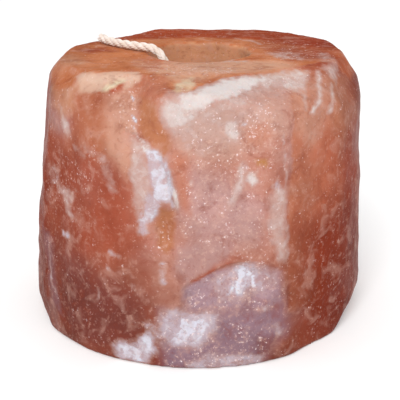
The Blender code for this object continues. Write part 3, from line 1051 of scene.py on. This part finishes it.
def relief(sizes, points, normals, seed_points, frost):
    """How far each point of the net stands out: lumps, grain in bruises, combed sides and a sawn top."""
    height = lip_height(points, LIPS) + sizes.lumps * noise_over(seed_points, 9 * MM, 1.0)
    height += 0.35 * sizes.lumps * noise_over(seed_points, 3.2 * MM, 4.0)
    height += sizes.grain * np.clip(frost, 0.15, 1) * noise_over(seed_points, 1.7 * MM, 6.0)
    level = np.clip(1.2 - 2 * np.abs(normals[:, 2]), 0, 1)
    combed = [Vector((p.x / 1.5, p.y / 1.5, p.z / 11)) / MM for p in seed_points]
    height += COMBED_HEIGHT * level * noise_over(combed, 1.0)
    top = np.clip((normals[:, 2] - 0.7) / 0.25, 0, 1) * (points[:, 2] > 100 * MM)
    sawn = [Vector((p.x / 16 + p.y / 60, p.y / 1.6, p.z / 16)) / MM for p in seed_points]
    height += SAWN_HEIGHT * top * noise_over(sawn, 1.0, 8.0)
    return height


def build_block(sizes):
    """The block with its relief, and with its colour, bloom and the places of its painted glints kept for the
    material.
    """
    block = net_over_block(sizes)
    mesh = block.data
    points = points_of(mesh)
    normals = normals_of(mesh)
    seed_points = [Vector(point) for point in points]
    drawn = ragged(seed_points, ((9 * MM, 0.9 * MM), (2.4 * MM, 0.8 * MM)))
    bare = strongest(drawn, BARE)
    frost = np.maximum(strongest(drawn, FROST) * (1 - bare), wild_frost(points, seed_points))
    store(mesh, "frost", frost)
    warm = strongest(drawn, {name: FROST[name] for name in WARM})
    warm *= 1 - np.clip(strongest(drawn, {name: FROST[name] for name in COLD}), 0, 0.9)
    store(mesh, "warm", np.maximum(warm, WILD_WARMTH * smooth(points[:, 1] / (20 * MM))))
    store(mesh, "glints", strongest(drawn, PAINTED_GLINTS))
    store(mesh, "sawn", smooth((normals[:, 2] - 0.8) / 0.15) * (points[:, 2] > 100 * MM))
    store_colour(mesh, "salt", washed(drawn, seed_points))
    height = relief(sizes, points, normals, seed_points, frost)
    grounded = np.clip(points[:, 2] / (2 * MM), 0, 1) * (normals[:, 2] > -0.5)
    moved = points + normals * (height * grounded)[:, None]
    mesh.vertices.foreach_set("co", moved.astype(np.float32).ravel())
    mesh.update()
    return block


def salt_material(sizes):
    """Cloudy salt: its washed colour with painted shade and light, veils and flecks, white bloom, a sawn top,
    and painted glints.
    """
    made, tree, shader = new_material("rock salt")
    here = place_on_piece(tree)
    veil = clouds(tree, here, 7 * MM, 4.0, 0.55, 0.6)
    grain = clouds(tree, here, 2.0 * MM, 4.0, 0.6, 0.3)
    fine = clouds(tree, here, 0.9 * MM, 3.0, 0.6)
    salt = node(tree, "ShaderNodeAttribute", attribute_name="salt").outputs["Color"]
    for pattern, low, high, share, colour in (
        (veil, 0.50, 0.70, 0.32, (0.84, 0.66, 0.60)),
        (veil, 0.48, 0.30, 0.36, (0.56, 0.25, 0.17)),
        (grain, 0.54, 0.72, 0.28, (0.87, 0.68, 0.61)),
        (grain, 0.44, 0.28, 0.28, (0.54, 0.24, 0.17)),
    ):
        salt = blended(tree, spread(tree, pattern, low, high, 0.0, share), salt, linear(colour))

    sawn = kept_value(tree, "sawn")
    cut = place_on_piece(tree, (0.09, 1.0, 0.2), (0.0, 0.0, math.radians(-4)))
    strokes = clouds(tree, cut, 1.7 * MM, 4.0, 0.65, 0.4)
    dark_stroke = product(tree, sawn, spread(tree, strokes, 0.48, 0.28, 0.0, 0.34))
    pale_stroke = product(tree, sawn, spread(tree, strokes, 0.54, 0.74, 0.0, 0.36))
    salt = blended(tree, dark_stroke, salt, linear((0.50, 0.19, 0.10)))
    salt = blended(tree, pale_stroke, salt, linear((0.88, 0.66, 0.52)))

    frost = kept_value(tree, "frost")
    cloudy = clouds(tree, here, 3.4 * MM, 5.0, 0.6, 0.3)
    large = crystals(tree, bent(tree, here, 3.0 * MM, 2.4 * MM), 3.6 * MM)[1]
    small = crystals(tree, bent(tree, here, 1.5 * MM, 1.2 * MM), 1.5 * MM)[1]
    uneven = spread(tree, cloudy, 0.25, 0.75, -0.20, 0.20, "LINEAR")
    uneven = sum_of(tree, uneven, spread(tree, large, 0.0, 1.0, -0.13, 0.13, "LINEAR"))
    uneven = sum_of(tree, uneven, spread(tree, small, 0.0, 1.0, -0.08, 0.08, "LINEAR"))
    warm = kept_value(tree, "warm")
    broken = sum_of(tree, frost, product(tree, uneven, spread(tree, warm, 0.0, 0.8, 1.0, 0.5)))
    bloom = spread(tree, broken, 0.08, 0.95, 0.0, 0.92, "LINEAR")
    bloom = product(tree, spread(tree, frost, 0.0, 0.2), bloom)
    white = blended(tree, spread(tree, broken, 0.25, 0.75), linear((0.79, 0.66, 0.62)), linear(sizes.veil))
    white = blended(tree, spread(tree, broken, 0.78, 1.12), white, linear(sizes.frost))
    thick = spread(tree, broken, 0.45, 1.05)
    cream = blended(tree, thick, linear((0.815, 0.695, 0.655)), linear((0.91, 0.87, 0.85)))
    white = blended(tree, spread(tree, warm, 0.1, 0.6, 0.0, 0.85), white, cream)
    salt = blended(tree, bloom, salt, white)

    # Painted glitter: lighter specks laid into the salt's colour where the painted glints lie close together
    dense = kept_value(tree, "glints")
    light = product(tree, dense, spread(tree, grain, 0.50, 0.70, 0.0, 0.26))
    salt = blended(tree, light, salt, linear((0.90, 0.76, 0.71)))
    shade = product(tree, dense, spread(tree, fine, 0.44, 0.30, 0.0, 0.30))
    salt = blended(tree, shade, salt, linear((0.60, 0.36, 0.30)))
    # Lighter flecks, partly the salt's grain and partly painted glints
    drift = spread(tree, clouds(tree, here, 5 * MM, 3.0, 0.6), 0.3, 0.7, -0.07, 0.07, "LINEAR")
    drift = sum_of(tree, drift, spread(tree, dense, 0.0, 1.0, -0.025, 0.045, "LINEAR"))
    speck = clouds(tree, here, 2.1 * MM, 4.0, 0.66, 0.5)
    fleck = spread(tree, sum_of(tree, speck, drift), 0.62, 0.78)
    salt = blended(tree, product(tree, fleck, 0.42), salt, linear((0.95, 0.80, 0.74)))
    # Painted glints: small crystals lit in the salt's colour, whiter where brightest, and smoother
    away, chance = crystals(tree, bent(tree, here, 0.6 * MM, 1.5 * MM), 1.1 * MM)
    lit = spread(tree, sum_of(tree, chance, sum_of(tree, drift, drift)), 0.80, 1.10)
    spark = clouds(tree, here, 1.0 * MM, 3.0, 0.62)
    sparks = spread(tree, sum_of(tree, spark, drift), 0.66, 0.76)
    glint = sum_of(tree, product(tree, lit, spread(tree, away, 0.46, 0.12)), sparks)
    glint = node(tree, "ShaderNodeMath", {0: glint, 1: 1.0}, operation="MINIMUM").outputs[0]
    sparkle = blended(tree, spread(tree, glint, 0.55, 0.95), linear((0.93, 0.80, 0.785)), linear(sizes.glint))
    salt = blended(tree, product(tree, glint, 0.80), salt, sparkle)
    pit = spread(tree, spark, 0.31, 0.23, 0.0, 0.4)
    salt = blended(tree, pit, salt, linear((0.46, 0.20, 0.15)))
    salt = blended(tree, 1.0, salt, (sizes.depth, sizes.depth, sizes.depth, 1.0), "MULTIPLY")
    tree.links.new(salt, shader.inputs["Base Color"])

    rough = sum_of(tree, spread(tree, bloom, 0.0, 1.0, 0.36, 0.60), product(tree, sawn, 0.35))
    rough = node(tree, "ShaderNodeMix", {0: glint, 2: rough, 3: 0.15}, data_type="FLOAT").outputs[0]
    tree.links.new(rough, shader.inputs["Roughness"])
    shader.inputs["IOR"].default_value = 1.54
    shader.inputs["Specular IOR Level"].default_value = 0.02
    shader.inputs["Subsurface Weight"].default_value = 0.25
    shader.inputs["Subsurface Radius"].default_value = (1.0, 0.45, 0.3)
    shader.inputs["Subsurface Scale"].default_value = 3 * MM

    normal = raised(tree, veil, 1.0 * MM, 0.5)
    normal = raised(tree, grain, 0.4 * MM, 0.5, normal)
    normal = raised(tree, fine, 0.25 * MM, 0.6, normal)
    tree.links.new(normal, shader.inputs["Normal"])
    return made


class MakeBlock(bpy.types.Operator):
    """Models the block of salt over its solid, with its relief and its material"""

    bl_idname = "rock_salt.make_block"
    bl_label = "Block of salt"

    def execute(self, context):
        sizes = context.scene.rock_salt_block
        block = finished(build_block(sizes), salt_material(sizes))
        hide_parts("salt_block")
        return {"FINISHED"}


# Stage


class RockSaltStage(bpy.types.PropertyGroup):
    floor: bpy.props.FloatProperty(
        name="Floor", description="Radius of the floor", default=4.0, min=0.5, subtype="DISTANCE"
    )
    pale: bpy.props.FloatVectorProperty(
        name="Floor colour", description="Colour of the floor",
        default=(0.99, 0.99, 0.99), subtype="COLOR_GAMMA",
    )
    sky: bpy.props.FloatProperty(
        name="Room light", description="Strength of the room's even light", default=0.76
    )
    key: bpy.props.FloatProperty(
        name="Key light", description="Power of the soft light in front at the left",
        default=184.0, unit="POWER",
    )


def pale_material(sizes):
    made, tree, shader = new_material("pale floor")
    soft = clouds(tree, place_on_piece(tree), 0.6, 2.0)
    colour = blended(tree, spread(tree, soft, 0.3, 0.7, 0.0, 0.04), linear(sizes.pale), (0.8, 0.8, 0.8, 1.0))
    tree.links.new(colour, shader.inputs["Base Color"])
    shader.inputs["Roughness"].default_value = 0.9
    shader.inputs["Specular IOR Level"].default_value = 0.1
    return made


def soft_light(name, place, aim, width, power):
    data = bpy.data.lights.new(name, "AREA")
    data.size = width
    data.energy = power
    lamp = placed(name, data)
    lamp.location = place
    lamp.rotation_euler = (Vector(aim) - Vector(place)).to_track_quat("-Z", "Y").to_euler()
    return lamp


class MakeStage(bpy.types.Operator):
    """Lays the pale floor and sets the soft lights"""

    bl_idname = "rock_salt.make_stage"
    bl_label = "Floor and lights"

    def execute(self, context):
        sizes = context.scene.rock_salt_stage
        disc = bmesh.new()
        bmesh.ops.create_circle(disc, cap_ends=True, segments=64, radius=sizes.floor)
        mesh = bpy.data.meshes.new("floor")
        disc.to_mesh(mesh)
        disc.free()
        floor = placed("floor", mesh)
        mesh.materials.append(pale_material(sizes))
        soft_light("key light", KEY_PLACE, MIDDLE, KEY_WIDTH, sizes.key)
        world = bpy.data.worlds.new("room")
        world.use_nodes = True
        ground = world.node_tree.nodes["Background"]
        ground.inputs["Color"].default_value = (1.0, 1.0, 1.0, 1.0)
        ground.inputs["Strength"].default_value = sizes.sky
        context.scene.world = world
        context.scene.view_settings.view_transform = "Standard"
        return {"FINISHED"}


# Sidebar


class RockSaltPanel(bpy.types.Panel):
    """Lists what the holder is made of, with its sizes and colours"""

    bl_idname = "VIEW3D_PT_rock_salt"
    bl_label = "Rock salt candle holder"
    bl_space_type = "VIEW_3D"
    bl_region_type = "UI"
    bl_category = "Rock Salt"

    def draw(self, context):
        for name, operator in STEPS:
            box = self.layout.box()
            settings = getattr(context.scene, name)
            for key in settings.__annotations__:
                box.prop(settings, key)
            box.operator(operator)


STEPS = (
    ("rock_salt_view", MakeView.bl_idname),
    ("rock_salt_wick", MakeWick.bl_idname),
    ("rock_salt_block", MakeBlock.bl_idname),
    ("rock_salt_stage", MakeStage.bl_idname),
)
GROUPS = {
    "rock_salt_view": RockSaltView,
    "rock_salt_wick": RockSaltWick,
    "rock_salt_block": RockSaltBlock,
    "rock_salt_stage": RockSaltStage,
}
CLASSES = (*GROUPS.values(), MakeView, MakeWick, MakeBlock, MakeStage, RockSaltPanel)


def register():
    for item in CLASSES:
        bpy.utils.register_class(item)
    for name, group in GROUPS.items():
        setattr(bpy.types.Scene, name, bpy.props.PointerProperty(type=group))


def unregister():
    for name in GROUPS:
        delattr(bpy.types.Scene, name)
    for item in reversed(CLASSES):
        bpy.utils.unregister_class(item)


def main():
    register()
    bpy.ops.rock_salt.make_view()
    bpy.ops.rock_salt.make_wick()
    bpy.ops.rock_salt.make_block()
    bpy.ops.rock_salt.make_stage()


if __name__ == "__main__":
    main()
